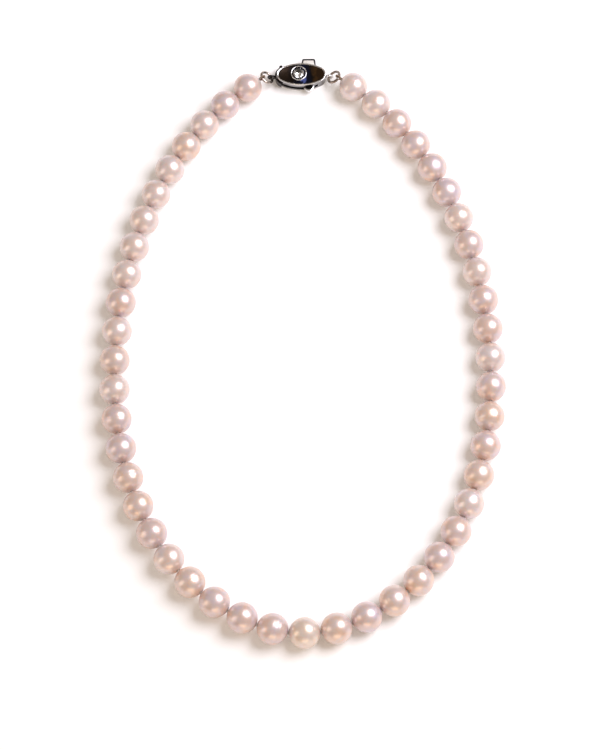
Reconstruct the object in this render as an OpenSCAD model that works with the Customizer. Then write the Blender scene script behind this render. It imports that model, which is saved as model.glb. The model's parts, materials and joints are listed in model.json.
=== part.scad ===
// Knotted single-strand pearl necklace with a double-push oval box clasp.
// It lies closed on a table: +Z is up, the clasp is at +Y and every pearl rests on z = 0.
// The origin is on the table at the centre of the whole necklace.

/* [Pearls] */
// Diameter of the pearl at the middle of the strand
pearl_d = 8.8; // [7:0.1:10]
// How much smaller the pearls next to the clasp are
pearl_graduation = 0.4; // [0:0.05:1]
// Swing of diameter from one matched pair to the next
pair_variation = 0.05; // [0:0.01:0.1]
// Diameter of the hole drilled through each pearl
drill_d = 0.8; // [0.6:0.05:1.2]

/* [Thread and knots] */
// Diameter of the doubled silk thread
thread_d = 0.44; // [0.3:0.02:0.5]
// Gap that each knot keeps between two pearls
knot_gap = 0.3; // [0.26:0.02:0.6]
// Diameter of each knot
knot_d = 0.96; // [0.9:0.02:1.2]
// Clearance between a knot and the pearls on each side of it
knot_clear = 0.07; // [0.05:0.01:0.1]

/* [How the strand lies] */
// Extra roundness of the whole loop, in degrees
loop_fullness = 16.5; // [0:0.5:20]
// Difference in roundness between the bottom and the shoulders, in degrees
bottom_fullness = 9; // [0:0.2:14]
// Angle at which each jump ring leaves the line of the clasp
ring_turn = 25; // [10:1:32]

/* [End loops and jump rings] */
// Thickness of the wire-wound gimp that covers the end of the thread
gimp_wire_d = 0.6; // [0.5:0.05:0.7]
// Diameter of the gimp loop, on its centre line
gimp_loop_d = 1.7; // [1.6:0.05:2.2]
// How far the gimp loop sits into the drill hole
gimp_sink = 0.05; // [0:0.01:0.06]
// Thickness of a jump ring's wire
ring_wire_d = 0.8; // [0.6:0.05:0.9]
// Diameter of a jump ring, on its centre line
ring_d = 3.8; // [3.5:0.1:5]
// Width of the cut where a jump ring was closed
ring_cut = 0.06; // [0.04:0.01:0.1]
// Thickness of the wire of the clasp's end loops
end_loop_wire_d = 0.64; // [0.5:0.02:0.7]
// Diameter of the clasp's end loops, on their centre line
end_loop_d = 1.9; // [1.8:0.05:2.3]
// How deep an end loop is soldered into its wall
end_loop_sink = 0.25; // [0.15:0.05:0.35]
// Play of a jump ring in the loop that it hangs in
ring_play = 0.06; // [0:0.01:0.08]

/* [Clasp box] */
// Length of the oval box
clasp_l = 14.5; // [12:0.1:18]
// Width of the oval box
clasp_w = 7.2; // [6:0.1:9]
// How much smaller than half the width the end radius of the oval is
end_drop = 1.1; // [0.8:0.1:1.6]
// Height of the rim above the table
clasp_h = 4; // [3.6:0.1:5]
// Thickness of the side wall
wall_t = 0.6; // [0.4:0.05:0.8]
// Thickness of the back plate
back_t = 0.5; // [0.4:0.05:0.8]
// Height of the room inside the box
room_h = 2.25; // [2.2:0.05:2.6]
// Width of the polished rim round the dished top
rim_w = 0.4; // [0.3:0.05:0.7]
// Depth of the dish in the middle of the top
dish_depth = 0.45; // [0.2:0.05:0.5]
// Radius to which the dish is curved
dish_r = 60; // [55:5:120]

/* [Stone] */
// Diameter of the stone
stone_d = 3.2; // [2.4:0.1:3.6]
// Height of the stone above its girdle
crown_h = 0.42; // [0.3:0.02:0.6]
// Depth of the stone below its girdle
pavilion_h = 1.15; // [0.8:0.05:1.2]
// Thickness of the stone's girdle
girdle_t = 0.08; // [0.04:0.02:0.12]
// Outer diameter of the cup that holds the stone
cup_d = 4.7; // [4.2:0.1:5.2]
// Depth of the round seat that the cup is soldered into
cup_seat = 0.15; // [0.1:0.05:0.2]
// How far the cup's lip reaches above the girdle
lip_h = 0.2; // [0.1:0.05:0.3]
// Distance of the stone from the middle of the box, towards the tongue's end
stone_offset = 0.75; // [0:0.05:1.5]

/* [Tongue and press arms] */
// Thickness of the tongue's plate
plate_t = 0.4; // [0.3:0.05:0.5]
// Width of the tongue's plate
plate_w = 3.4; // [3.2:0.1:3.6]
// Thickness of the guard that closes the mouth
guard_t = 0.45; // [0.3:0.05:0.6]
// How far the guard wraps back along the box
guard_wrap = 1.35; // [1:0.05:2]
// Height of the guard's top above the table
guard_top = 3.1; // [2.8:0.1:3.4]
// Diameter of the small lug on the guard's far corner
lug_d = 0.9; // [0.6:0.1:1.1]
// Thickness of the press arms
arm_t = 1.1; // [0.9:0.05:1.2]
// Width of the press arms
arm_w = 0.65; // [0.5:0.05:0.8]
// Distance of the arms' pivots from the mouth end of the box
pivot_inset = 2.85; // [2.5:0.05:3.4]
// Diameter of the pivot posts
post_d = 0.7; // [0.5:0.05:0.8]
// Diameter of the eye round each post
eye_d = 1.4; // [1.3:0.05:1.5]
// Distance of the press tabs from the middle of the box
tab_offset = 2.2; // [1.5:0.1:2.5]
// Width of the large press tab where it leaves the box
large_tab_w = 4.4; // [3:0.1:4.6]
// How far the large press tab stands out
large_tab_out = 2.1; // [1.5:0.1:2.6]
// Width of the small press tab where it leaves the box
small_tab_w = 3.2; // [2.5:0.1:4]
// How far the small press tab stands out
small_tab_out = 1.1; // [0.9:0.1:1.8]
// How much narrower a tab is at its end
tab_taper = 1.1; // [0.6:0.1:1.6]
// How far the arms stay inside the outer wall
arm_inset = 0.95; // [0.8:0.05:1.2]

/* [Clearances] */
// Between the tongue's plate and the back plate, and under and over the arms
slide_clear = 0.2; // [0.15:0.01:0.25]
// Between the arms and the plate below them
arm_clear = 0.15; // [0.1:0.01:0.2]
// On each side of the plate in the mouth
mouth_clear = 0.4; // [0.35:0.05:0.5]
// Between the guard and the end of the box
guard_clear = 0.1; // [0.08:0.01:0.15]
// Between a post and its eye
post_clear = 0.05; // [0.03:0.01:0.08]
// Room past the tabs for their swing
tab_swing_clear = 0.5; // [0.4:0.05:0.7]
// Between pieces that are set into each other
seat_clear = 0.02; // [0.01:0.01:0.04]

/* [Hidden] */
$fn = 64;
half_count = 23;
middle_pearl = half_count + 1;
pearl_count = 2 * half_count + 1;
PEARLS = [for (n = [1 : pearl_count]) str("pearl_", n < 10 ? "0" : "", n)];
FITTINGS = ["silk_thread", "left_gimp_loop", "right_gimp_loop", "left_jump_ring", "right_jump_ring",
            "clasp_shell", "clasp_back", "stone_cup", "centre_stone",
            "tongue_plate", "end_guard", "upper_press_arm", "lower_press_arm"];

pearl_colour = [0.93, 0.83, 0.82];
silk_colour = [0.95, 0.92, 0.87];
gimp_colour = [0.72, 0.66, 0.6];
silver_colour = [0.8, 0.8, 0.82];
dark_silver_colour = [0.35, 0.34, 0.36];
stone_colour = [0.85, 0.9, 1, 0.5];

// ---- Heights inside the clasp ----
plate_z = back_t + slide_clear;
arm_z = plate_z + plate_t + arm_clear;
slot_z = arm_z - arm_clear;
slot_top = arm_z + arm_t + arm_clear;
ceiling_z = back_t + room_h;
cup_z = clasp_h - dish_depth - cup_seat;
girdle_z = cup_z + pavilion_h + seat_clear;
loop_z = (back_t + guard_top) / 2;

// ---- Plan of the clasp ----
box_a = clasp_l / 2;
box_b = clasp_w / 2;
mouth_w = plate_w + 2 * mouth_clear;
pivot_x = pivot_inset - box_a;
pivot_y = plate_w / 2 - eye_d / 2 + 0.3;
arm_y = box_b - arm_inset;
slot_end = tab_offset + large_tab_w / 2 + tab_swing_clear;
plate_tip = tab_offset + 1;
guard_out = guard_clear + guard_t;
loop_out = (end_loop_d + end_loop_wire_d) / 2 - end_loop_sink;

// ---- The strand, worked outwards from the middle pearl ----
// The clasp's anchor points are the same distance from the middle on both sides.
anchor_x = box_a + guard_out / 2 + loop_out + ring_play;
ring_rise = pearl_size(half_count) / 2 - loop_z;
ring_tilt = asin(ring_rise / ring_d);
ring_reach = ring_d * cos(ring_tilt);
gimp_reach = (gimp_loop_d + gimp_wire_d) / 2 - gimp_sink + ring_play;

function total(v, i = 0) = i < len(v) ? v[i] + total(v, i + 1) : 0;

// Diameter of the pearls that stand k places from the middle
function pearl_size(k) =
    pearl_d - pearl_graduation * pow(k / half_count, 1.3) + pair_variation * sin(k * 137);

// Distance from one knot to the next over pearl k; the last one ends at its gimp loop
function link(k) = pearl_size(k) + (k == half_count ? knot_gap / 2 : knot_gap);

// Heading of pearl k on the right-hand side, 0 along +X and 90 along +Y
function heading(k, turn) =
    let (u = (k + 0.5) / (half_count + 1))
    k == 0 ? 0 : turn * u + loop_fullness * sin(180 * u) + bottom_fullness * sin(360 * u);

// Where the strand would meet the clasp for a given total turn
function strand_end_x(turn) =
    link(0) / 2
    + total([for (k = [1 : half_count]) link(k) * cos(heading(k, turn))])
    + gimp_reach * cos(heading(half_count, turn))
    - ring_reach * cos(ring_turn);

// The total turn that brings the strand to the clasp's anchor, by halving
function closing_turn(low, high, steps) =
    let (middle = (low + high) / 2)
    steps == 0 ? middle
    : strand_end_x(middle) > anchor_x ? closing_turn(middle, high, steps - 1)
    : closing_turn(low, middle, steps - 1);

turn = closing_turn(110, 210, 40);
headings = [for (k = [0 : half_count]) heading(k, turn)];

// Knot k lies past pearl k; the last of them is the mouth of the end pearl's drill hole
knots = [for (k = 0, p = [link(0) / 2, 0]; k <= half_count;
              k = k + 1, p = p + (k > half_count ? [0, 0]
                                  : link(k) * [cos(headings[k]), sin(headings[k])])) p];

function along(a) = [cos(a), sin(a)];

// Centre of pearl k in the plane
function pearl_xy(k) = k == 0 ? [0, 0] : knots[k - 1] + (knot_gap + pearl_size(k)) / 2 * along(headings[k]);

// Height of knot k: halfway between its two pearls
function knot_z(k) =
    k == half_count ? pearl_size(k) / 2 : (pearl_size(k) + pearl_size(k + 1)) / 4;

end_heading = headings[half_count];
gimp_xy = knots[half_count] + (gimp_reach - ring_play) * along(end_heading);
hang_xy = knots[half_count] + gimp_reach * along(end_heading);
anchor_xy = hang_xy + ring_reach * along(180 - ring_turn);
ring_xy = (hang_xy + anchor_xy) / 2;
ring_z = (pearl_size(half_count) / 2 + loop_z) / 2;

// The origin is at the middle of the whole necklace
centre_y = (anchor_xy[1] + box_b + large_tab_out - pearl_size(0) / 2) / 2;
clasp_x = guard_out / 2;
clasp_y = anchor_xy[1];

// ---- Shared shapes ----
module to_table() {
    translate([0, -centre_y, 0]) children();
}

module to_clasp() {
    to_table() translate([clasp_x, clasp_y, 0]) children();
}

// The left half of the necklace mirrors the right half
module on_side(side) {
    if (side < 0) mirror([1, 0, 0]) children();
    else children();
}

module wire_loop(loop_d, wire_d) {
    rotate_extrude() translate([loop_d / 2, 0]) circle(d = wire_d, $fn = 32);
}

// Points of an arc, from one angle to another
function arc(centre, r, from, to, steps) =
    [for (i = [0 : steps]) centre + r * along(from + (to - from) * i / steps)];

// An oval of four arcs that meet smoothly, inset on every side
module oval(inset) {
    a = box_a - inset;
    b = box_b - inset;
    end_r = b - end_drop;
    end_x = a - end_r;
    side_r = (end_x * end_x + b * b - end_r * end_r) / (2 * end_drop);
    meet = atan2(side_r - b, end_x);
    upper_right = concat(arc([end_x, 0], end_r, 0, meet, 7), arc([0, b - side_r], side_r, meet, 90, 6));
    upper_left = [for (i = [len(upper_right) - 1 : -1 : 0]) [-upper_right[i][0], upper_right[i][1]]];
    upper = concat(upper_right, upper_left);
    lower = [for (i = [len(upper) - 1 : -1 : 0]) [upper[i][0], -upper[i][1]]];
    polygon(concat(upper, lower));
}

module oval_block(inset, from_z, to_z) {
    translate([0, 0, from_z]) linear_extrude(to_z - from_z) oval(inset);
}

module end_loop(x) {
    translate([x, 0, loop_z]) rotate([90, 0, 0]) wire_loop(end_loop_d, end_loop_wire_d);
}

// ---- Pearls ----
module pearl(n) {
    side = sign(n - middle_pearl);
    k = abs(n - middle_pearl);
    place = pearl_xy(k);
    r = pearl_size(k) / 2;
    color(pearl_colour)
        to_table() on_side(side) translate([place[0], place[1], r]) rotate([0, 90, headings[k]])
            difference() {
                sphere(r = r, $fn = 96);
                cylinder(h = 2 * r + 1, d = drill_d, center = true);
            }
}

// ---- Thread ----
// Rings along the right-hand half, from the middle pearl outwards: place, heading and radius.
// Each knot is a bulge of four rings, and the thread runs straight through every pearl.
function knot_rings(k) =
    let (axis = (headings[k] + headings[k + 1]) / 2, half_t = knot_gap / 2 - knot_clear)
    [for (step = [[-1, thread_d], [-0.6, knot_d], [0.6, knot_d], [1, thread_d]])
        [concat(knots[k] + step[0] * half_t * along(axis), knot_z(k)), axis, step[1] / 2]];

thread_stop = knots[half_count] - (gimp_sink + seat_clear) * along(end_heading);
right_rings = concat(
    [for (k = [0 : half_count - 1]) each knot_rings(k)],
    [[concat(thread_stop, knot_z(half_count)), end_heading, thread_d / 2]]);
left_rings = [for (i = [len(right_rings) - 1 : -1 : 0])
    let (ring = right_rings[i]) [[-ring[0][0], ring[0][1], ring[0][2]], -ring[1], ring[2]]];

module sweep(rings, sides) {
    points = [for (ring = rings, i = [0 : sides - 1])
        let (a = 360 * i / sides)
        ring[0] + ring[2] * [-sin(ring[1]) * cos(a), cos(ring[1]) * cos(a), sin(a)]];
    last = (len(rings) - 1) * sides;
    walls = [for (row = [0 : sides : last - sides], i = [0 : sides - 1])
        let (j = (i + 1) % sides)
        each [[row + i, row + sides + i, row + j], [row + j, row + sides + i, row + sides + j]]];
    first_cap = [for (i = [0 : sides - 1]) i];
    last_cap = [for (i = [sides - 1 : -1 : 0]) last + i];
    polyhedron(points, concat([first_cap, last_cap], walls));
}

module silk_thread() {
    color(silk_colour) to_table() sweep(concat(left_rings, right_rings), 8);
}

// ---- Gimp loops and jump rings ----
module gimp_loop(side) {
    color(gimp_colour)
        to_table() on_side(side)
            translate([gimp_xy[0], gimp_xy[1], pearl_size(half_count) / 2])
                rotate([90, 0, end_heading]) wire_loop(gimp_loop_d, gimp_wire_d);
}

module jump_ring(side) {
    color(silver_colour)
        to_table() on_side(side)
            translate([ring_xy[0], ring_xy[1], ring_z])
                rotate([0, ring_tilt, 180 - ring_turn])
                    difference() {
                        wire_loop(ring_d, ring_wire_d);
                        translate([0, ring_d / 2, 0]) cube([ring_cut, 2, 2], center = true);
                    }
}

// ---- Clasp box ----
module clasp_shell() {
    color(silver_colour)
        to_clasp() {
            difference() {
                oval_block(0, back_t, clasp_h);
                oval_block(wall_t, back_t - 1, ceiling_z);
                // Dished top inside the rim
                intersection() {
                    oval_block(rim_w, cup_z, clasp_h + 1);
                    translate([0, 0, clasp_h - dish_depth + dish_r]) sphere(r = dish_r, $fn = 360);
                }
                translate([-stone_offset, 0, cup_z]) cylinder(h = 2, d = cup_d + 2 * seat_clear);
                // Slot for the arms and their tabs, open to the mouth
                translate([-2 * box_a, -clasp_w, slot_z])
                    cube([2 * box_a + slot_end, 2 * clasp_w, slot_top - slot_z]);
                // Mouth for the plate
                translate([-2 * box_a, -mouth_w / 2, back_t - 1])
                    cube([box_a + pivot_inset, mouth_w, slot_top - back_t + 1]);
            }
            end_loop(box_a + loop_out);
        }
}

module clasp_back() {
    color(silver_colour) to_clasp() oval_block(0, 0, back_t);
}

module stone_cup() {
    seat_r = stone_d / 2 + seat_clear;
    lip_z = girdle_z - cup_z + lip_h;
    table_side = stone_d / 2 - 0.12;
    color(silver_colour)
        to_clasp() translate([-stone_offset, 0, cup_z])
            rotate_extrude()
                polygon([[seat_r * 0.5, 0], [cup_d / 2, 0], [cup_d / 2, lip_z * 0.6],
                         [cup_d / 2 - 0.2, lip_z], [table_side, lip_z],
                         [seat_r, girdle_z - cup_z + girdle_t], [seat_r, girdle_z - cup_z - seat_clear],
                         [seat_r * 0.5, (pavilion_h - seat_clear) * 0.5]]);
}

module centre_stone() {
    color(stone_colour)
        to_clasp() translate([-stone_offset, 0, girdle_z])
            rotate_extrude()
                polygon([[0, -pavilion_h], [stone_d / 2, 0], [stone_d / 2, girdle_t],
                         [stone_d * 0.29, girdle_t + crown_h], [0, girdle_t + crown_h]]);
}

// ---- Tongue ----
module tongue_plate() {
    color(silver_colour)
        to_clasp() {
            translate([0, 0, plate_z])
                linear_extrude(plate_t)
                    intersection() {
                        oval(-guard_clear);
                        union() {
                            translate([-2 * box_a, -plate_w / 2])
                                square([2 * box_a + plate_tip - plate_w / 2, plate_w]);
                            translate([plate_tip - plate_w / 2, 0]) circle(d = plate_w);
                        }
                    }
            for (side = [-1, 1]) {
                translate([pivot_x, side * pivot_y, plate_z])
                    cylinder(h = arm_z + arm_t - plate_z, d = post_d);
            }
        }
}

module end_guard() {
    guard_z = plate_z - slide_clear / 2;
    color(dark_silver_colour)
        to_clasp() {
            difference() {
                intersection() {
                    union() {
                        oval_block(-guard_out, guard_z, guard_top);
                        translate([guard_wrap - box_a, box_b - end_drop, guard_z])
                            cylinder(h = guard_top - guard_z, d = lug_d);
                    }
                    translate([-2 * box_a, -clasp_w, 0])
                        cube([box_a + guard_wrap, 2 * clasp_w, 2 * clasp_h]);
                }
                oval_block(-guard_clear, guard_z - 1, guard_top + 1);
            }
            difference() {
                end_loop(-box_a - guard_clear - guard_t - loop_out);
                oval_block(-guard_clear, guard_z - 1, guard_top + 1);
            }
        }
}

// A press arm: an eye on its post, a bar along the box and a tab through the slot
module press_arm(tab_w, tab_out) {
    translate([0, 0, arm_z])
        linear_extrude(arm_t)
            difference() {
                union() {
                    translate([pivot_x, pivot_y]) circle(d = eye_d);
                    polygon([[pivot_x, pivot_y - arm_w / 2], [tab_offset, arm_y - arm_w],
                             [tab_offset + tab_w / 2, arm_y - arm_w], [tab_offset + tab_w / 2, arm_y],
                             [tab_offset - tab_w / 2, arm_y], [pivot_x, pivot_y + arm_w / 2]]);
                    polygon([[tab_offset - tab_w / 2, arm_y - arm_w / 2],
                             [tab_offset + tab_w / 2, arm_y - arm_w / 2],
                             [tab_offset + (tab_w - tab_taper) / 2, box_b + tab_out],
                             [tab_offset - (tab_w - tab_taper) / 2, box_b + tab_out]]);
                }
                translate([pivot_x, pivot_y]) circle(d = post_d + 2 * post_clear);
            }
}

module upper_press_arm() {
    color(silver_colour) to_clasp() press_arm(large_tab_w, large_tab_out);
}

module lower_press_arm() {
    color(silver_colour) to_clasp() mirror([0, 1, 0]) press_arm(small_tab_w, small_tab_out);
}

// ---- Every piece ----
for (n = [1 : pearl_count]) {
    pearl(n);
}
silk_thread();
gimp_loop(-1);  // left_gimp_loop
gimp_loop(1);  // right_gimp_loop
jump_ring(-1);  // left_jump_ring
jump_ring(1);  // right_jump_ring
clasp_shell();
clasp_back();
stone_cup();
centre_stone();
tongue_plate();
end_guard();
upper_press_arm();
lower_press_arm();
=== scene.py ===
"""A knotted pearl necklace with an oval push clasp, lying closed on a white table."""

import json
import math
import random

import bmesh
import bpy
from mathutils import Matrix, Vector, noise


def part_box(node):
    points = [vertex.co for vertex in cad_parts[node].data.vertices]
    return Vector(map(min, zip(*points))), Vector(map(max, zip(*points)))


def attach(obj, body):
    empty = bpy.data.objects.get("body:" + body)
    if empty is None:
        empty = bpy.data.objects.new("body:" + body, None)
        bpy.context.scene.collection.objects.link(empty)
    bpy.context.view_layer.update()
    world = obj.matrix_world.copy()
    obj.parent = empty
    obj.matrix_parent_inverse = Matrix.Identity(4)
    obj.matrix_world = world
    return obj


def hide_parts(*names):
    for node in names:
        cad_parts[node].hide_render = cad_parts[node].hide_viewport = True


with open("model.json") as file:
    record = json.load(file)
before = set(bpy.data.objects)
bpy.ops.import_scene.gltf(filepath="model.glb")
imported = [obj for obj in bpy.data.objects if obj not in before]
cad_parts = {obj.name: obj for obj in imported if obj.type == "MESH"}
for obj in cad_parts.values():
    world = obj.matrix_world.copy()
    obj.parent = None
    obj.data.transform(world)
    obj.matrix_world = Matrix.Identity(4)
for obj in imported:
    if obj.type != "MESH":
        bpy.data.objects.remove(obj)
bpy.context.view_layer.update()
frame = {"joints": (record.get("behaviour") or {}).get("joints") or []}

MM = 0.001
PEARLS = 47
MIDDLE = 24

# ---- Sizes in millimetres, close to the CAD's; knot, rim and dish differ by a few hundredths ----
DRILL_R = 0.4
KNOT_GAP = 0.3
THREAD_R = 0.22
KNOT_R = 0.44

BOX_A = 7.25
BOX_B = 3.6
END_DROP = 1.1
BACK_T = 0.5
WALL_T = 0.6
RIM_TOP = 4.0
RIM_W = 0.42
DISH_DEPTH = 0.42
CEILING = 2.75
SLOT_LOW = 1.1
SLOT_HIGH = 2.5
SLOT_END = 4.9
MOUTH_W = 4.2
PIVOT_INSET = 2.85
PIVOT_Y = 1.3
STONE_X = -0.75
STONE_R = 1.6
CUP_R = 2.35
CUP_LOW = 3.4
GIRDLE_Z = 4.57
CUP_TOP = 4.77
LOOP_Z = 1.8
LOOP_R = 0.95
LOOP_WIRE_R = 0.32
LOOP_SINK = 0.25
GUARD_CLEAR = 0.1
GUARD_T = 0.45
GUARD_WRAP = 1.35
GUARD_LOW = 0.6
GUARD_TOP = 3.1
PLATE_LOW = 0.7
PLATE_T = 0.4
PLATE_W = 3.4
PLATE_TIP = 3.2
ARM_LOW = 1.25
ARM_T = 1.1
ARM_W = 0.65
ARM_Y = 2.65
TAB_X = 2.2
RING_R = 1.9
RING_WIRE_R = 0.4
GIMP_LOOP_R = 0.85
GIMP_R = 0.3


# ---- Where things are, from the frame ----
joint_named = {joint["name"]: joint for joint in frame["joints"]}


def pearl_name(n):
    return f"pearl_{n:02d}"


def thread_point(n):
    """The place of the knot between pearl n and pearl n + 1, or of an end pearl's outer hole."""
    named = {0: "left_thread_end_bends", PEARLS: "right_thread_end_bends",
             MIDDLE - 2: "left_strand_opens", MIDDLE + 1: "right_strand_opens"}
    name = named.get(n, f"knot_{n:02d}_{n + 1:02d}")
    return Vector(joint_named[name]["pos_m"])


def pearl_place(n):
    """Centre, radius and drilling direction of pearl n, in metres."""
    low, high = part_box(pearl_name(n))
    radius = (high.z - low.z) / 2
    along = thread_point(n) - thread_point(n - 1)
    along.z = 0
    return (low + high) / 2, radius, along.normalized()


back_low, back_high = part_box("clasp_back")
CLASP_AT = Vector(((back_low.x + back_high.x) / 2, (back_low.y + back_high.y) / 2, 0))


# ---- Materials ----
def new_material(name):
    material = bpy.data.materials.new(name)
    material.use_nodes = True
    nodes = material.node_tree.nodes
    return material, nodes, material.node_tree.links, nodes["Principled BSDF"]


def noise_node(nodes, links, scale, detail=2.0, roughness=0.5, distortion=0.0):
    """Noise on the piece's own Object coordinates; scale is in turns per metre."""
    place = nodes.new("ShaderNodeTexCoord")
    node = nodes.new("ShaderNodeTexNoise")
    node.inputs["Scale"].default_value = scale
    node.inputs["Detail"].default_value = detail
    node.inputs["Roughness"].default_value = roughness
    node.inputs["Distortion"].default_value = distortion
    links.new(place.outputs["Object"], node.inputs["Vector"])
    return node


def ramp_node(nodes, links, source, stops):
    """Colours over a 0 to 1 value: stops are (place, colour)."""
    ramp = nodes.new("ShaderNodeValToRGB")
    elements = ramp.color_ramp.elements
    while len(elements) < len(stops):
        elements.new(0.5)
    for element, (place, colour) in zip(elements, stops):
        element.position = place
        element.color = (*colour, 1)
    links.new(source, ramp.inputs["Fac"])
    return ramp


def bump_node(nodes, links, height, shader, strength, distance):
    bump = nodes.new("ShaderNodeBump")
    bump.inputs["Strength"].default_value = strength
    bump.inputs["Distance"].default_value = distance
    links.new(height, bump.inputs["Height"])
    links.new(bump.outputs["Normal"], shader.inputs["Normal"])
    return bump


def roughness_from(nodes, links, source, shader, low, high):
    spread = nodes.new("ShaderNodeMapRange")
    spread.inputs["To Min"].default_value = low
    spread.inputs["To Max"].default_value = high
    links.new(source, spread.inputs["Value"])
    links.new(spread.outputs["Result"], shader.inputs["Roughness"])


def nacre(name, body, blush, glow):
    """Nacre: a soft cloud of body colour, blush and glow under a thin clear coat."""
    material, nodes, links, shader = new_material(name)
    cloud = noise_node(nodes, links, 330, detail=3, roughness=0.55, distortion=0.6)
    ramp = ramp_node(nodes, links, cloud.outputs["Fac"], [(0.3, blush), (0.5, body), (0.7, glow)])
    links.new(ramp.outputs["Color"], shader.inputs["Base Color"])
    growth = noise_node(nodes, links, 2600, detail=4, roughness=0.6)
    bump_node(nodes, links, growth.outputs["Fac"], shader, 0.16, 0.00004)
    roughness_from(nodes, links, cloud.outputs["Fac"], shader, 0.28, 0.38)
    shader.inputs["Metallic"].default_value = 0.42
    shader.inputs["IOR"].default_value = 1.5
    shader.inputs["Subsurface Weight"].default_value = 0.4
    shader.inputs["Subsurface Radius"].default_value = (1.0, 0.55, 0.4)
    shader.inputs["Subsurface Scale"].default_value = 0.003
    shader.inputs["Coat Weight"].default_value = 0.15
    shader.inputs["Coat Roughness"].default_value = 0.2
    shader.inputs["Coat IOR"].default_value = 1.5
    return material


def polished_silver(name, colour, roughness, tarnish):
    """Polished silver with fine wiping marks and a trace of tarnish."""
    material, nodes, links, shader = new_material(name)
    shader.inputs["Metallic"].default_value = 1.0
    stain = noise_node(nodes, links, 420, detail=5, roughness=0.65)
    ramp = ramp_node(nodes, links, stain.outputs["Fac"], [(0.35, tarnish), (0.6, colour)])
    links.new(ramp.outputs["Color"], shader.inputs["Base Color"])
    wiping = noise_node(nodes, links, 5200, detail=3, roughness=0.7, distortion=1.5)
    roughness_from(nodes, links, wiping.outputs["Fac"], shader, roughness * 0.6, roughness * 1.6)
    bump_node(nodes, links, wiping.outputs["Fac"], shader, 0.12, 0.00001)
    return material


def dish_painted_reflection():
    """The dark dished top: polished silver with its dark reflection painted in as a near-black colour, and
    painted brown and blue reflections along it.
    """
    material, nodes, links, shader = new_material("dish_painted_reflection")
    shader.inputs["Metallic"].default_value = 1.0
    place = nodes.new("ShaderNodeTexCoord")
    centred = nodes.new("ShaderNodeMapping")
    centred.inputs["Location"].default_value = (-CLASP_AT.x, -CLASP_AT.y, 0)
    links.new(place.outputs["Object"], centred.inputs["Vector"])
    axes = nodes.new("ShaderNodeSeparateXYZ")
    links.new(centred.outputs["Vector"], axes.inputs["Vector"])
    along = nodes.new("ShaderNodeMapRange")
    along.inputs["From Min"].default_value = -BOX_A * MM
    along.inputs["From Max"].default_value = BOX_A * MM
    links.new(axes.outputs["X"], along.inputs["Value"])
    cloud = noise_node(nodes, links, 420, detail=3, roughness=0.6, distortion=1.0)
    shaken = nodes.new("ShaderNodeMath")
    shaken.operation = "MULTIPLY_ADD"
    shaken.inputs[1].default_value = 0.34
    links.new(cloud.outputs["Fac"], shaken.inputs[0])
    links.new(along.outputs["Result"], shaken.inputs[2])
    # Painted reflection: near-black for the dark surroundings the dish mirrors, a painted blue reflection
    # past the middle and a painted brown reflection towards the +X end, shifted by noise.
    ramp = ramp_node(nodes, links, shaken.outputs["Value"],
                     [(0.12, (0.028, 0.022, 0.018)), (0.36, (0.045, 0.03, 0.022)), (0.5, (0.02, 0.018, 0.02)),
                      (0.74, (0.014, 0.02, 0.06)), (0.86, (0.02, 0.018, 0.02)), (0.98, (0.11, 0.06, 0.025)),
                      (1.0, (0.06, 0.035, 0.02))])
    links.new(ramp.outputs["Color"], shader.inputs["Base Color"])
    rub = noise_node(nodes, links, 3800, detail=4, roughness=0.6)
    roughness_from(nodes, links, rub.outputs["Fac"], shader, 0.1, 0.26)
    bump_node(nodes, links, rub.outputs["Fac"], shader, 0.1, 0.00001)
    return material


def silk():
    """Undyed silk: a soft sheen over fine fibres."""
    material, nodes, links, shader = new_material("knotted_silk")
    fibre = noise_node(nodes, links, 9000, detail=4, roughness=0.7, distortion=2.0)
    ramp = ramp_node(nodes, links, fibre.outputs["Fac"],
                     [(0.3, (0.72, 0.66, 0.58)), (0.7, (0.93, 0.9, 0.85))])
    links.new(ramp.outputs["Color"], shader.inputs["Base Color"])
    bump_node(nodes, links, fibre.outputs["Fac"], shader, 0.5, 0.00003)
    shader.inputs["Roughness"].default_value = 0.6
    shader.inputs["Sheen Weight"].default_value = 0.4
    return material


def clear_stone():
    """A colourless cut stone."""
    material, nodes, links, shader = new_material("clear_stone")
    speck = noise_node(nodes, links, 1500, detail=2)
    ramp = ramp_node(nodes, links, speck.outputs["Fac"],
                     [(0.35, (0.93, 0.95, 1.0)), (0.7, (1.0, 0.99, 0.96))])
    links.new(ramp.outputs["Color"], shader.inputs["Base Color"])
    shader.inputs["Transmission Weight"].default_value = 1.0
    shader.inputs["IOR"].default_value = 2.1
    shader.inputs["Roughness"].default_value = 0.01
    return material


def table_paper():
    """A sheet of matt white paper on a light table."""
    material, nodes, links, shader = new_material("table_paper")
    grain = noise_node(nodes, links, 900, detail=6, roughness=0.6)
    ramp = ramp_node(nodes, links, grain.outputs["Fac"],
                     [(0.2, (0.9, 0.9, 0.895)), (0.8, (0.93, 0.93, 0.925))])
    links.new(ramp.outputs["Color"], shader.inputs["Base Color"])
    shader.inputs["Roughness"].default_value = 0.85
    shader.inputs["Specular IOR Level"].default_value = 0.2
    shader.inputs["Emission Color"].default_value = (1.0, 0.92, 0.84, 1)
    shader.inputs["Emission Strength"].default_value = 0.1
    return material


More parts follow.
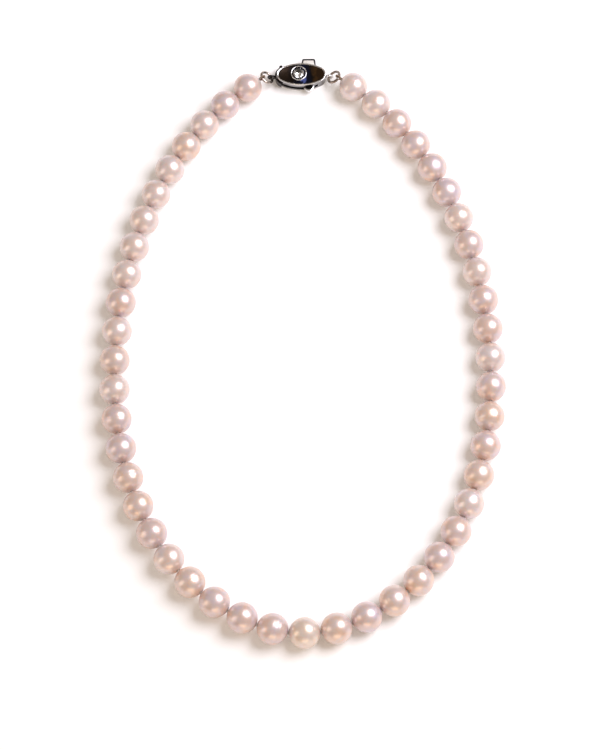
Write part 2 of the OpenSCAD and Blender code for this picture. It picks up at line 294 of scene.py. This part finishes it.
NACRES = {
    "rose": nacre("nacre_rose", (0.69, 0.56, 0.52), (0.75, 0.54, 0.44), (0.66, 0.56, 0.60)),
    "lavender": nacre("nacre_lavender", (0.68, 0.56, 0.54), (0.73, 0.54, 0.46), (0.64, 0.56, 0.62)),
    "peach": nacre("nacre_peach", (0.71, 0.57, 0.51), (0.76, 0.55, 0.42), (0.67, 0.57, 0.57)),
    "cream": nacre("nacre_cream", (0.74, 0.63, 0.55), (0.76, 0.59, 0.46), (0.72, 0.64, 0.61)),
    "white": nacre("nacre_white", (0.73, 0.62, 0.58), (0.75, 0.58, 0.50), (0.71, 0.63, 0.65)),
}
SILVER = polished_silver("polished_silver", (0.86, 0.86, 0.87), 0.12, (0.66, 0.64, 0.62))
WARM_SILVER = polished_silver("jump_ring_silver", (0.60, 0.55, 0.51), 0.16, (0.20, 0.14, 0.11))
# A darker copy of the silver for the walls, eyes and bars: painted shade on the sides.
SIDE_SHADE_SILVER = polished_silver("side_painted_shade_silver", (0.34, 0.33, 0.34), 0.14, (0.13, 0.12, 0.12))
SATIN_SILVER = polished_silver("satin_silver", (0.95, 0.93, 0.90), 0.48, (0.66, 0.62, 0.56))
# Near-black silver: painted shade, for the mouth guard and the dark parts of the tabs.
SHADE_PAINTED_SILVER = polished_silver("guard_painted_shade", (0.075, 0.07, 0.075), 0.12, (0.02, 0.018, 0.018))
GIMP = polished_silver("gimp_wire", (0.42, 0.32, 0.25), 0.26, (0.18, 0.12, 0.08))
PAINTED_DARK_REFLECTION = dish_painted_reflection()
SILK = silk()
STONE = clear_stone()
PAPER = table_paper()


# ---- Making and placing pieces ----
def finish_piece(name, bm, materials, body, stands_for=(), sharp=35):
    """Turns a bmesh in metres into a piece that rides on a body."""
    bmesh.ops.remove_doubles(bm, verts=bm.verts, dist=1e-7)
    bmesh.ops.recalc_face_normals(bm, faces=bm.faces)
    mesh = bpy.data.meshes.new(name)
    bm.to_mesh(mesh)
    bm.free()
    for material in materials:
        mesh.materials.append(material)
    mesh.polygons.foreach_set("use_smooth", [True] * len(mesh.polygons))
    mesh.set_sharp_from_angle(angle=math.radians(sharp))
    piece = bpy.data.objects.new(name, mesh)
    bpy.context.scene.collection.objects.link(piece)
    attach(piece, body)
    if stands_for:
        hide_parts(*stands_for)
    return piece


def to_clasp(bm):
    """Scales a bmesh drawn in millimetres round the clasp's centre and puts it in place."""
    bm.transform(Matrix.Translation(CLASP_AT) @ Matrix.Scale(MM, 4))


def turned(axis, centre):
    """The matrix that takes +Z to an axis, about a centre, from millimetres to metres."""
    turn = Vector((0, 0, 1)).rotation_difference(axis).to_matrix().to_4x4()
    return Matrix.Translation(centre) @ turn @ Matrix.Scale(MM, 4)


def join_meshes(parts):
    """One bmesh from several."""
    whole = bmesh.new()
    for part in parts:
        mesh = bpy.data.meshes.new("part")
        part.to_mesh(mesh)
        part.free()
        whole.from_mesh(mesh)
        bpy.data.meshes.remove(mesh)
    return whole


def spun(profile, steps, closed_profile=True, turn=math.tau):
    """A profile of (radius, height) points spun about Z."""
    bm = bmesh.new()
    verts = [bm.verts.new((r, 0, z)) for r, z in profile]
    count = len(verts)
    edges = [bm.edges.new((verts[i], verts[(i + 1) % count]))
             for i in range(count if closed_profile else count - 1)]
    bmesh.ops.spin(bm, geom=verts + edges, cent=(0, 0, 0), axis=(0, 0, 1), angle=turn,
                   steps=steps, use_merge=turn == math.tau, use_duplicate=False)
    bmesh.ops.remove_doubles(bm, verts=bm.verts, dist=1e-6)
    return bm


def circle_profile(centre_r, wire_r, count, centre_z=0.0):
    return [(centre_r + wire_r * math.cos(math.tau * i / count),
             centre_z + wire_r * math.sin(math.tau * i / count)) for i in range(count)]


def extruded(outline, low, high, edge):
    """A flat outline of (x, y) points given a thickness, with rounded edges."""
    bm = bmesh.new()
    face = bm.faces.new([bm.verts.new((x, y, low)) for x, y in outline])
    raised = bmesh.ops.extrude_face_region(bm, geom=[face])["geom"]
    bmesh.ops.translate(bm, verts=[v for v in raised if isinstance(v, bmesh.types.BMVert)],
                        vec=(0, 0, high - low))
    bmesh.ops.recalc_face_normals(bm, faces=bm.faces)
    bmesh.ops.bevel(bm, geom=list(bm.edges), offset=edge, segments=2, profile=0.5,
                    affect="EDGES", material=-1)
    return bm


def cut(bm, cutters):
    """Takes boxes, each (low corner, high corner), out of a closed bmesh."""
    mesh = bpy.data.meshes.new("whole")
    bmesh.ops.recalc_face_normals(bm, faces=bm.faces)
    bm.to_mesh(mesh)
    bm.free()
    whole = bpy.data.objects.new("whole", mesh)
    bpy.context.scene.collection.objects.link(whole)
    blocks = []
    for low, high in cutters:
        block_bm = bmesh.new()
        bmesh.ops.create_cube(block_bm, size=1)
        middle = (Vector(low) + Vector(high)) / 2
        size = Vector(high) - Vector(low)
        block_bm.transform(Matrix.Translation(middle) @ Matrix.Diagonal((*size, 1)))
        block_mesh = bpy.data.meshes.new("block")
        block_bm.to_mesh(block_mesh)
        block_bm.free()
        block = bpy.data.objects.new("block", block_mesh)
        bpy.context.scene.collection.objects.link(block)
        modifier = whole.modifiers.new("cut", "BOOLEAN")
        modifier.object = block
        modifier.operation = "DIFFERENCE"
        modifier.solver = "EXACT"
        blocks.append(block)
    bpy.context.view_layer.update()
    result = bmesh.new()
    result.from_object(whole, bpy.context.evaluated_depsgraph_get())
    for done in [whole] + blocks:
        data = done.data
        bpy.data.objects.remove(done)
        bpy.data.meshes.remove(data)
    return result


# ---- Pearls ----
SKIN = 0.06  # Each pearl is this much larger in radius than the CAD's, so neighbours all but touch.
PEARL_SEED = 4700
PEARL_TURNS = 72
PEARL_ARCS = 52
TINTS = ["rose", "lavender", "peach", "white", "rose", "lavender", "white", "peach"]
CREAM_PEARLS = {MIDDLE}


def drilled_ball(radius):
    """A drilled ball in millimetres, its hole along Z with a softly worn lip."""
    lip = 0.07
    start = math.asin((DRILL_R + lip) / radius)
    arc = [(radius * math.sin(start + (math.pi - 2 * start) * i / PEARL_ARCS),
            radius * math.cos(start + (math.pi - 2 * start) * i / PEARL_ARCS))
           for i in range(PEARL_ARCS + 1)]
    mouth = arc[0][1]
    rounding = [(DRILL_R, mouth - lip), (DRILL_R + 0.3 * lip, mouth - 0.3 * lip)]
    profile = rounding + arc + [(r, -z) for r, z in reversed(rounding)]
    return spun(profile, PEARL_TURNS)


def grow(bm, radius, draw):
    """Makes a ball into a grown pearl: faint waves, a flat, pits, and on some a ring or two."""
    shift = Vector((draw.uniform(-50, 50), draw.uniform(-50, 50), draw.uniform(-50, 50)))
    flat_way = Vector((draw.uniform(-1, 1), draw.uniform(-1, 1), draw.uniform(-0.5, 0.5))).normalized()
    flat_depth = draw.uniform(0.02, 0.09)
    long_way = Vector((draw.uniform(-1, 1), draw.uniform(-1, 1), 0)).normalized()
    squeeze = draw.uniform(0.0, 0.06)
    ring_count = draw.choice((0, 0, 0, 1, 1, 2))
    rings = [(draw.uniform(-0.55, 0.55) * radius, draw.uniform(0.02, 0.055), draw.uniform(0.22, 0.4),
              draw.uniform(0, math.tau)) for _ in range(ring_count)]
    pits = [(Vector((draw.gauss(0, 1), draw.gauss(0, 1), draw.gauss(0, 0.6))).normalized(),
             draw.uniform(0.015, 0.04), draw.uniform(0.05, 0.11)) for _ in range(draw.choice((1, 2, 4)))]
    for vert in bm.verts:
        way = vert.co.normalized()
        if vert.co.length < radius * 0.98:
            continue
        away_from_hole = 1 - min(1, max(0, abs(way.z) - 0.93) / 0.06)
        wave = noise.noise(vert.co * 0.42 + shift) * 0.045 + noise.noise(vert.co * 1.1 + shift) * 0.012
        low = -0.03 + wave
        low -= flat_depth * max(0, way.dot(flat_way)) ** 6
        low -= squeeze * (1 - way.dot(long_way) ** 2)
        for height, depth, width, phase in rings:
            bend = 0.25 * math.sin(math.atan2(way.y, way.x) + phase)
            low -= depth * math.exp(-((vert.co.z - height - bend) / width) ** 2)
        for spot, depth, width in pits:
            low -= depth * math.exp(-((way - spot).length / width) ** 2)
        vert.co += way * min(low, 0.012) * away_from_hole


def make_pearl(n):
    draw = random.Random(PEARL_SEED + n)
    centre, radius, along = pearl_place(n)
    bm = drilled_ball(radius / MM + SKIN)
    grow(bm, radius / MM + SKIN, draw)
    bm.transform(turned(along, centre))
    tint = "cream" if n in CREAM_PEARLS else draw.choice(TINTS)
    return finish_piece(f"nacre_pearl_{n:02d}", bm, [NACRES[tint]], pearl_name(n),
                        stands_for=[pearl_name(n)], sharp=60)


# ---- Thread ----
def twisted_thread(start, end):
    """Two plies of silk twisted together between two points, in metres."""
    length = (end - start).length / MM
    bm = bmesh.new()
    for side in (-1, 1):
        ply = bmesh.ops.create_circle(bm, segments=8, radius=THREAD_R * 0.52)
        bmesh.ops.translate(bm, verts=ply["verts"], vec=(side * THREAD_R * 0.48, 0, 0))
    pitch = 1.2
    turns = length / pitch
    steps = int(turns * 10)
    edges = list(bm.edges)
    bmesh.ops.spin(bm, geom=list(bm.verts) + edges, cent=(0, 0, 0), axis=(0, 0, 1),
                   dvec=(0, 0, length / steps), angle=math.tau * turns, steps=steps,
                   use_merge=False, use_duplicate=False)
    bmesh.ops.holes_fill(bm, edges=bm.edges, sides=8)
    bm.transform(turned((end - start).normalized(), start))
    return bm


def tube_along(points, radius, closed, sides=3):
    """A round tube along a list of points, as a bmesh."""
    curve = bpy.data.curves.new("path", "CURVE")
    curve.dimensions = "3D"
    curve.bevel_depth = radius
    curve.bevel_resolution = sides
    curve.use_fill_caps = True
    spline = curve.splines.new("POLY")
    spline.points.add(len(points) - 1)
    for place, point in zip(spline.points, points):
        place.co = (*point, 1)
    spline.use_cyclic_u = closed
    holder = bpy.data.objects.new("path", curve)
    mesh = bpy.data.meshes.new_from_object(holder)
    bm = bmesh.new()
    bm.from_mesh(mesh)
    bpy.data.objects.remove(holder)
    bpy.data.curves.remove(curve)
    bpy.data.meshes.remove(mesh)
    return bm


def silk_knot(centre, along):
    """A small flat overhand knot, drawn tight between two pearls."""
    ply_r = 0.1
    points = []
    for i in range(48):
        a = math.tau * i / 48
        reach = (KNOT_R - ply_r) * (0.62 + 0.38 * math.cos(3 * a))
        points.append(Vector((reach * math.cos(2 * a), reach * math.sin(2 * a),
                              0.055 * math.sin(3 * a))))
    bm = join_meshes([tube_along(points, ply_r, True), tube_along(
        [Vector((0, 0, -KNOT_GAP / 2)), Vector((0, 0, KNOT_GAP / 2))], THREAD_R * 0.9, False)])
    bm.transform(turned(along, centre))
    return bm


def make_thread(n):
    """The thread inside pearl n."""
    _, _, along = pearl_place(n)
    start, end = thread_point(n - 1), thread_point(n)
    inset = along * 0.00006
    bm = twisted_thread(start + inset, end - inset)
    finish_piece(f"thread_in_pearl_{n:02d}", bm, [SILK], pearl_name(n),
                 stands_for=["silk_thread"])


def make_knot(n):
    """The knot between pearl n and pearl n + 1; it stays with the one nearer the middle."""
    along = (pearl_place(n)[2] + pearl_place(n + 1)[2]).normalized()
    holder = n if n >= MIDDLE else n + 1
    finish_piece(f"knot_{n:02d}", silk_knot(thread_point(n), along), [SILK], pearl_name(holder),
                 stands_for=["silk_thread"])


# ---- Gimp loops and jump rings ----
def make_gimp(side):
    """A loop of fine wire wound round the thread, from the end pearl's hole through the jump ring."""
    node = f"{side}_gimp_loop"
    low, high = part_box(node)
    end = 1 if side == "left" else PEARLS
    centre, _, along = pearl_place(end)
    middle = (low + high) / 2
    middle.z = centre.z
    across = Vector((0, 0, 1)).cross(along).normalized()
    turns = 30
    wire_r = 0.085
    points = []
    count = turns * 12
    for i in range(count):
        a = math.tau * i / count
        b = a * turns
        reach = GIMP_LOOP_R + (GIMP_R - wire_r) * math.cos(b)
        points.append(Vector((reach * math.cos(a), reach * math.sin(a), (GIMP_R - wire_r) * math.sin(b))))
    core = spun(circle_profile(GIMP_LOOP_R, GIMP_R - 1.4 * wire_r, 12), 48)
    bm = join_meshes([tube_along(points, wire_r, True, sides=2), core])
    bm.transform(turned(across, middle))
    finish_piece(f"{side}_wound_gimp", bm, [GIMP], node, stands_for=[node])


def make_jump_ring(side):
    """A closed round jump ring with the fine cut where its ends meet."""
    node = f"{side}_jump_ring"
    joint = next(j for j in frame["joints"] if j["child"] == node)
    gap = 0.045
    count = 20
    profile = circle_profile(RING_R, RING_WIRE_R, count)
    bm = spun(profile, 96, turn=math.tau - gap)
    bmesh.ops.holes_fill(bm, edges=bm.edges, sides=count)
    rims = [e for e in bm.edges if len(e.link_faces) == 2
            and any(len(f.verts) == count for f in e.link_faces)]
    bmesh.ops.bevel(bm, geom=rims, offset=0.04, segments=2, profile=0.5, affect="EDGES", material=-1)
    bm.transform(turned(Vector(joint["axis"]), Vector(joint["pos_m"])))
    finish_piece(f"{side}_round_ring", bm, [WARM_SILVER], node, stands_for=[node])


# ---- Clasp ----
def oval_point(share, inset):
    """A point on the clasp's oval of four arcs; share runs from 0 to 1 round it."""
    end_r = BOX_B - END_DROP
    end_x = BOX_A - end_r
    side_r = end_x ** 2 / (2 * END_DROP) + BOX_B - END_DROP / 2
    meet = math.atan2(side_r - BOX_B, end_x)
    quarter, place = divmod(share * 4, 1)
    if quarter % 2:
        place = 1 - place
    if place < 0.5:
        a = meet * place * 2
        x, y = end_x + (end_r - inset) * math.cos(a), (end_r - inset) * math.sin(a)
    else:
        a = meet + (math.pi / 2 - meet) * (place * 2 - 1)
        x, y = (side_r - inset) * math.cos(a), BOX_B - side_r + (side_r - inset) * math.sin(a)
    return (x if quarter in (0, 3) else -x), (y if quarter < 2 else -y)


OVAL_STEPS = 160


def lofted_oval(levels, closed=False):
    """An oval edge drawn up through (inset, height, scale) levels; its ends are filled, or joined."""
    bm = bmesh.new()
    place_round = bm.verts.layers.float.new("place_round")

    def set_level(verts, level):
        inset, z, scale = level
        for vert in verts:
            x, y = oval_point(vert[place_round], inset)
            vert.co = (x * scale, y * scale, z)

    ring = bmesh.ops.create_circle(bm, segments=OVAL_STEPS, radius=1)["verts"]
    for i, vert in enumerate(ring):
        vert[place_round] = i / OVAL_STEPS
    set_level(ring, levels[0])
    edges = list(bm.edges)
    for level in levels[1:] + (levels[:1] if closed else []):
        drawn = bmesh.ops.extrude_edge_only(bm, edges=edges)["geom"]
        set_level([part for part in drawn if isinstance(part, bmesh.types.BMVert)], level)
        edges = [part for part in drawn if isinstance(part, bmesh.types.BMEdge)]
    if closed:
        bmesh.ops.remove_doubles(bm, verts=bm.verts, dist=1e-5)
    else:
        bmesh.ops.holes_fill(bm, edges=bm.edges, sides=OVAL_STEPS)
    bmesh.ops.recalc_face_normals(bm, faces=bm.faces)
    return bm


def end_loop(x):
    """A round wire loop standing on edge at the end of the clasp."""
    bm = spun(circle_profile(LOOP_R, LOOP_WIRE_R, 20), 64)
    bm.transform(Matrix.Translation((x, 0, LOOP_Z)) @ Matrix.Rotation(math.pi / 2, 4, "X"))
    return bm


def make_shell():
    dish_edge = RIM_TOP - 0.16
    dish = [(RIM_W + 0.06, dish_edge - DISH_DEPTH * (1 - s * s), s)
            for s in [1 - 0.08 * i for i in range(12)]]
    levels = ([(WALL_T, BACK_T, 1), (0.03, BACK_T, 1), (0, BACK_T + 0.03, 1), (0, RIM_TOP - 0.32, 1)]
              + [(0.17 - 0.17 * math.cos(math.radians(a)), RIM_TOP - 0.2 + 0.2 * math.sin(math.radians(a)), 1)
                 for a in range(0, 180, 20)]
              + [(RIM_W - 0.04, RIM_TOP - 0.14, 1), (RIM_W, dish_edge, 1)] + dish)
    # The first level is the ceiling of the hollow
    shell = lofted_oval([(WALL_T, CEILING, 1)] + levels)
    shell = cut(shell, [
        ((-2 * BOX_A, -2 * BOX_B, SLOT_LOW), (SLOT_END, 2 * BOX_B, SLOT_HIGH)),
        ((-2 * BOX_A, -MOUTH_W / 2, 0), (PIVOT_INSET - BOX_A, MOUTH_W / 2, SLOT_HIGH - 0.02)),
    ])
    # Flat faces of the dish get the painted dark reflection; faces low on the wall get the darker side
    # silver, painted shade.
    for face in shell.faces:
        x, y, z = face.calc_center_median()
        if z > SLOT_HIGH + 0.6 and face.normal.z > 0.9 and abs(x) < BOX_A - RIM_W and z < dish_edge + 0.02:
            face.material_index = 1
        elif z < RIM_TOP - 0.24:
            face.material_index = 2
    shell = join_meshes([shell, end_loop(BOX_A + LOOP_R + LOOP_WIRE_R - LOOP_SINK)])
    to_clasp(shell)
    finish_piece("clasp_top", shell, [SILVER, PAINTED_DARK_REFLECTION, SIDE_SHADE_SILVER], "clasp_box",
                 stands_for=["clasp_shell"], sharp=30)


def make_back():
    edge = 0.08
    bm = lofted_oval([(edge, 0, 1), (0, edge, 1), (0, BACK_T - 0.03, 1), (0.03, BACK_T, 1)])
    to_clasp(bm)
    finish_piece("clasp_base", bm, [SILVER], "clasp_box",
                 stands_for=["clasp_back"], sharp=30)


def make_cup():
    """The round cup: a polished lip, and a slope inside it down to the stone, near-black with painted dark
    reflection.
    """
    lip_w = 0.34
    lip_r = CUP_R - lip_w / 2
    lip = [(lip_r + lip_w / 2 * math.cos(math.radians(a)), CUP_TOP - 0.17 + 0.17 * math.sin(math.radians(a)))
           for a in range(0, 181, 20)]
    seat_r = STONE_R + 0.04
    slope = [(seat_r, GIRDLE_Z + 0.03), (seat_r, GIRDLE_Z - 0.1), (0.5, CUP_LOW + 0.1)]
    profile = [(0.5, CUP_LOW), (CUP_R, CUP_LOW)] + lip + slope
    bm = spun(profile, 96)
    # Faces inside the lip take the near-black painted dark reflection.
    for face in bm.faces:
        middle = face.calc_center_median()
        if math.hypot(middle.x, middle.y) < CUP_R - lip_w:
            face.material_index = 1
    bm.transform(Matrix.Translation((STONE_X, 0, 0)))
    to_clasp(bm)
    finish_piece("stone_collar", bm, [SILVER, PAINTED_DARK_REFLECTION], "clasp_box",
                 stands_for=["stone_cup"])


def make_stone():
    """A round brilliant: table, crown, girdle and pavilion facets."""
    bm = bmesh.new()
    crown, pavilion = 0.42, 1.12
    tiers = [(8, 0.56, crown, 0.0), (8, 0.8, crown * 0.62, 0.5), (16, 1.0, 0.06, 0.25),
             (16, 1.0, 0.0, 0.25), (8, 0.42, -pavilion * 0.62, 0.5), (8, 0.03, -pavilion, 0)]
    for sides, reach, z, turn in tiers:
        ring = bmesh.ops.create_circle(bm, segments=sides, radius=STONE_R * reach)["verts"]
        bmesh.ops.rotate(bm, verts=ring, cent=(0, 0, 0),
                         matrix=Matrix.Rotation(math.tau * turn / sides, 3, "Z"))
        bmesh.ops.translate(bm, verts=ring, vec=(0, 0, z))
    bmesh.ops.delete(bm, geom=list(bm.edges), context="EDGES_FACES")
    bmesh.ops.convex_hull(bm, input=list(bm.verts))
    bmesh.ops.dissolve_limit(bm, angle_limit=math.radians(1), verts=bm.verts, edges=bm.edges)
    bm.transform(Matrix.Translation((STONE_X, 0, GIRDLE_Z)))
    to_clasp(bm)
    finish_piece("cut_stone", bm, [STONE], "clasp_box", stands_for=["centre_stone"], sharp=1)


def make_tongue():
    tip = [(PLATE_TIP - PLATE_W / 2 + PLATE_W / 2 * math.sin(math.radians(a)),
            PLATE_W / 2 * math.cos(math.radians(a))) for a in range(0, 181, 12)]
    root_x = -BOX_A + 0.12
    plate = extruded([(root_x, PLATE_W / 2)] + tip + [(root_x, -PLATE_W / 2)],
                     PLATE_LOW, PLATE_LOW + PLATE_T, 0.05)
    posts = []
    for side in (-1, 1):
        top = ARM_LOW + ARM_T
        foot = PLATE_LOW + 0.1
        post = spun([(0, foot), (0.35, foot), (0.35, top - 0.06), (0.29, top), (0, top)],
                    32, closed_profile=False)
        post.transform(Matrix.Translation((PIVOT_INSET - BOX_A, side * PIVOT_Y, 0)))
        posts.append(post)
    bm = join_meshes([plate] + posts)
    to_clasp(bm)
    finish_piece("tongue_spring_plate", bm, [SILVER], "tongue",
                 stands_for=["tongue_plate"])


def make_guard():
    outer = GUARD_CLEAR + GUARD_T
    soft = 0.08
    bm = lofted_oval([(-GUARD_CLEAR, GUARD_LOW, 1), (soft - outer, GUARD_LOW, 1),
                      (-outer, GUARD_LOW + soft, 1), (-outer, GUARD_TOP - soft, 1),
                      (soft - outer, GUARD_TOP, 1), (-GUARD_CLEAR, GUARD_TOP, 1)], closed=True)
    bm = cut(bm, [((GUARD_WRAP - BOX_A, -2 * BOX_B, -1), (2 * BOX_A, 2 * BOX_B, 2 * RIM_TOP))])
    lug_r = 0.55
    lug = spun([(0, GUARD_LOW), (lug_r - soft, GUARD_LOW), (lug_r, GUARD_LOW + soft), (lug_r, GUARD_TOP),
                (lug_r - soft, GUARD_TOP + soft), (0, GUARD_TOP + soft)], 32, closed_profile=False)
    lug.transform(Matrix.Translation((GUARD_WRAP - BOX_A - 0.1, BOX_B - END_DROP + 0.2, 0)))
    bm = join_meshes([bm, lug, end_loop(-BOX_A - outer - LOOP_R - LOOP_WIRE_R + LOOP_SINK)])
    to_clasp(bm)
    # The guard is near-black silver: painted shade.
    finish_piece("mouth_guard", bm, [SHADE_PAINTED_SILVER], "tongue", stands_for=["end_guard"])


def make_arm(name, side, tab_outline, border_metal, face_metal):
    """A press arm: an eye round its post, a bar along the box and a tab with a raised border."""
    pivot_x = PIVOT_INSET - BOX_A
    low, high = ARM_LOW, ARM_LOW + ARM_T
    eye = spun([(0.4, low), (0.66, low), (0.7, low + 0.05),
                (0.7, high - 0.05), (0.66, high), (0.4, high)], 40)
    eye.transform(Matrix.Translation((pivot_x, PIVOT_Y, 0)))
    tab_start, tab_end = tab_outline[-1][0], tab_outline[0][0]
    bar_x, bar_y = pivot_x + 0.5, PIVOT_Y + 0.06
    bar = extruded([(bar_x, bar_y - ARM_W / 2), (TAB_X, ARM_Y - ARM_W), (tab_end, ARM_Y - ARM_W),
                    (tab_end, ARM_Y), (tab_start, ARM_Y), (bar_x, bar_y + ARM_W / 2)],
                   low, high, 0.06)
    tab = extruded(tab_outline, low, high, 0.1)
    top = max((face for face in tab.faces if face.normal.z > 0.99), key=lambda face: face.calc_area())
    border = bmesh.ops.inset_region(tab, faces=[top], thickness=0.3, depth=0)["faces"]
    floor = bmesh.ops.inset_region(tab, faces=[top], thickness=0.08, depth=-0.14)["faces"]
    for face in tab.faces:
        face.material_index = 1
    top.material_index = 0
    for face in floor + border:
        face.material_index = 1
    # The eye and bar get the darker side silver, painted shade.
    for face in list(eye.faces) + list(bar.faces):
        face.material_index = 2
    bm = join_meshes([eye, bar, tab])
    if side < 0:
        bmesh.ops.scale(bm, vec=(1, -1, 1), verts=bm.verts)
        bmesh.ops.reverse_faces(bm, faces=bm.faces)
    to_clasp(bm)
    finish_piece(f"{name}_tab", bm, [face_metal, border_metal, SIDE_SHADE_SILVER], f"{name}_press_arm",
                 stands_for=[f"{name}_press_arm"])


def make_upper_arm():
    """The long tab: a trapezoid with rounded corners."""
    width, out, taper, corner = 4.8, 2.1, 0.9, 0.45
    outline = [(TAB_X + width / 2, ARM_Y - ARM_W / 2)]
    for way, angles in ((1, (0, 30, 60, 90)), (-1, (90, 60, 30, 0))):
        corner_x = TAB_X + way * ((width - taper) / 2 - corner)
        outline += [(corner_x + way * corner * math.cos(math.radians(a)),
                     BOX_B + out - corner + corner * math.sin(math.radians(a))) for a in angles]
    outline.append((TAB_X - width / 2, ARM_Y - ARM_W / 2))
    # Upper tab: satin face with a near-black border, the border a painted shade outline.
    make_arm("upper", 1, outline, SHADE_PAINTED_SILVER, SATIN_SILVER)


def make_lower_arm():
    """The short tab: half round."""
    width, out = 3.2, 1.1
    root = ARM_Y - ARM_W / 2
    outline = [(TAB_X + width / 2 * math.cos(math.radians(a)),
                root + (BOX_B + out - root) * math.sin(math.radians(a)) ** 0.7) for a in range(0, 181, 15)]
    # Lower tab: bright silver border round a near-black face, painted shade in the recess.
    make_arm("lower", -1, outline, SILVER, SHADE_PAINTED_SILVER)


# ---- Table, light and camera ----
def make_table():
    bm = bmesh.new()
    bmesh.ops.create_grid(bm, x_segments=2, y_segments=2, size=2.0)
    mesh = bpy.data.meshes.new("table")
    bm.to_mesh(mesh)
    bm.free()
    mesh.materials.append(PAPER)
    table = bpy.data.objects.new("table", mesh)
    table.location.z = -0.00005
    bpy.context.scene.collection.objects.link(table)


def soft_light(name, way, distance, size, power, colour):
    """An oval softbox that faces the necklace from a direction."""
    data = bpy.data.lights.new(name, "AREA")
    data.shape = "ELLIPSE"
    data.size, data.size_y = size
    data.energy = power
    data.color = colour
    light = bpy.data.objects.new(name, data)
    way = Vector(way).normalized()
    light.location = way * distance
    light.rotation_euler = way.to_track_quat("Z", "Y").to_euler()
    bpy.context.scene.collection.objects.link(light)


def make_light():
    soft_light("key", (0.55, 0.2, 0.81), 0.8, (0.66, 0.66), 7.4, (0.97, 0.96, 1.04))
    soft_light("front_fill", (0.05, -0.95, 0.2), 0.9, (0.8, 0.36), 1.5, (1.0, 0.78, 0.56))
    soft_light("left_fill", (-0.9, -0.3, 0.42), 0.9, (0.4, 0.8), 1.6, (1.0, 0.86, 0.72))
    world = bpy.data.worlds.new("studio")
    bpy.context.scene.world = world
    world.use_nodes = True
    background = world.node_tree.nodes["Background"]
    background.inputs["Color"].default_value = (1.0, 0.87, 0.76, 1)
    background.inputs["Strength"].default_value = 0.36


def make_camera():
    """Looks down on the necklace from its lower end, through a long lens."""
    elevation = math.radians(69.96)
    distance = 0.981
    lean = math.radians(0.42)
    look_at = Vector((-0.00076, -0.00984, 0.0043))
    data = bpy.data.cameras.new("camera")
    data.sensor_width = 36
    data.lens = 164.5
    data.clip_start = 0.01
    camera = bpy.data.objects.new("camera", data)
    camera.location = look_at + distance * Vector((0, -math.cos(elevation), math.sin(elevation)))
    tilt = Matrix.Rotation(math.pi / 2 - elevation, 3, "X")
    camera.rotation_euler = (tilt @ Matrix.Rotation(-lean, 3, "Z")).to_euler()
    bpy.context.scene.collection.objects.link(camera)
    bpy.context.scene.camera = camera


# ---- Putting it together ----
for n in range(1, PEARLS + 1):
    make_pearl(n)
    make_thread(n)
for n in range(1, PEARLS):
    make_knot(n)
for side in ("left", "right"):
    make_gimp(side)
    make_jump_ring(side)
make_shell()
make_back()
make_cup()
make_stone()
make_tongue()
make_guard()
make_upper_arm()
make_lower_arm()
make_table()
make_light()
make_camera()
bpy.context.scene.view_settings.view_transform = "Standard"
